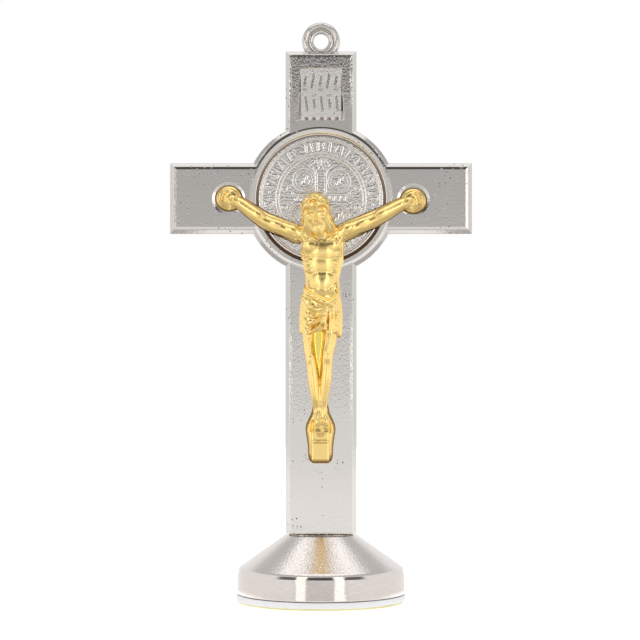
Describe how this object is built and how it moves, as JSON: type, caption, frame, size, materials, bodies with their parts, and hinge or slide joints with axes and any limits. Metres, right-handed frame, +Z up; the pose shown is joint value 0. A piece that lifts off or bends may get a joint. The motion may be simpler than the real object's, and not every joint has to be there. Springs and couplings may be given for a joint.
{
  "type": "standing crucifix",
  "caption": "Small standing crucifix: a cross with a round boss, inlaid medal, hanging loop and gilt figure, on a round conical foot with an adhesive foam pad.",
  "frame": {"origin": "middle of the underside, on the surface that the crucifix stands on", "axes": "+Z up; -Y is the front, where the figure is; +X is to the right of a viewer in front"},
  "size_m": [0.0622, 0.035, 0.1195],
  "materials": {
    "polished_plating": "polished nickel plating over a zinc casting, slightly pitted",
    "struck_plating": "nickel plating over struck relief, slightly dulled",
    "gilding": "bright gilt plating over a zinc casting",
    "turned_plating": "polished nickel plating",
    "foam": "white closed-cell adhesive foam",
    "liner": "yellow siliconed release paper"
  },
  "bodies": {
    "root": {"cross": "polished_plating", "medal": "struck_plating", "corpus": "gilding", "base": "turned_plating", "foam_pad": "foam", "release_liner": "liner"}
  },
  "joints": []
}
